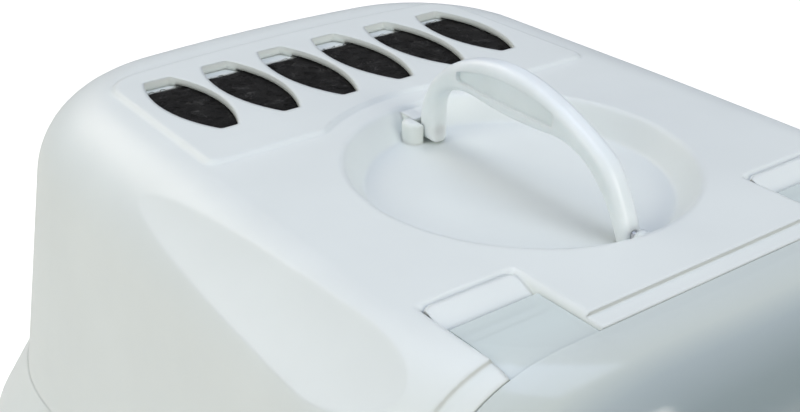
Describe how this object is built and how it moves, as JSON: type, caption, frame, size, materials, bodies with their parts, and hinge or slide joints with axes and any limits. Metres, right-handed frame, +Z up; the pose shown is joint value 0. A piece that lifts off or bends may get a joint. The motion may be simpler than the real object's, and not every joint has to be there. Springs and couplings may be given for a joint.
{
  "type": "hooded litter box",
  "caption": "Hooded cat litter box with a lift-off vented hood, folding carry handle, smoked flip-up front visor, swing flap entrance and deep tray.",
  "frame": {"origin": "on the floor, under the middle of the box", "axes": "+Z up, +Y to the back of the box, +X to its right-hand side seen from behind the visor looking back"},
  "size_m": [0.457, 0.552, 0.4613],
  "materials": {
    "hood_plastic": "fine satin texture",
    "tray_plastic": "satin",
    "handle_plastic": "milky gloss",
    "smoked_plastic": "clear gloss",
    "flap_plastic": "clear gloss",
    "charcoal_foam": "fibrous",
    "cradle_plastic": "satin",
    "latch_plastic": "satin",
    "pin_steel": "brushed",
    "foot_rubber": "matt"
  },
  "bodies": {
    "base": {"base_tray": "tray_plastic", "foot_front_left": "foot_rubber", "foot_front_right": "foot_rubber", "foot_rear_left": "foot_rubber", "foot_rear_right": "foot_rubber"},
    "hood": {"hood_shell": "hood_plastic", "handle_pin_front": "pin_steel", "handle_pin_rear": "pin_steel", "visor_pin_left": "pin_steel", "visor_pin_right": "pin_steel", "cradle_pin_left": "pin_steel", "cradle_pin_right": "pin_steel", "latch_pin_left": "pin_steel", "latch_pin_right": "pin_steel"},
    "handle": {"carry_handle": "handle_plastic"},
    "visor": {"front_visor": "smoked_plastic", "flap_hinge_rod": "pin_steel"},
    "flap": {"entry_flap": "flap_plastic"},
    "cradle": {"filter_cradle": "cradle_plastic", "carbon_filter": "charcoal_foam"},
    "left_latch": {"latch_left": "latch_plastic"},
    "right_latch": {"latch_right": "latch_plastic"}
  },
  "joints": [
    {"name": "hood_lift", "type": "slide", "parent": "base", "child": "hood", "axis": [0, 0, 1], "range_m": [0, 0.3]},
    {"name": "handle_fold", "type": "hinge", "parent": "hood", "child": "handle", "pos_m": [0, -0.0465, 0.40729], "axis": [0, 1, 0], "range_deg": [0, 82]},
    {"name": "visor_open", "type": "hinge", "parent": "hood", "child": "visor", "pos_m": [0, -0.1445, 0.40885], "axis": [-1, 0, 0], "range_deg": [0, 90]},
    {"name": "flap_swing", "type": "hinge", "parent": "visor", "child": "flap", "pos_m": [0, -0.226, 0.346], "axis": [1, 0, 0], "range_deg": [-75, 75]},
    {"name": "cradle_drop", "type": "hinge", "parent": "hood", "child": "cradle", "pos_m": [0, 0.16582, 0.40203], "axis": [1, 0, 0], "range_deg": [0, 80]},
    {"name": "left_latch_turn", "type": "hinge", "parent": "hood", "child": "left_latch", "pos_m": [-0.22449, 0.01, 0.198], "axis": [0, 1, 0], "range_deg": [0, 100]},
    {"name": "right_latch_turn", "type": "hinge", "parent": "hood", "child": "right_latch", "pos_m": [0.22449, 0.01, 0.198], "axis": [0, -1, 0], "range_deg": [0, 100]}
  ]
}
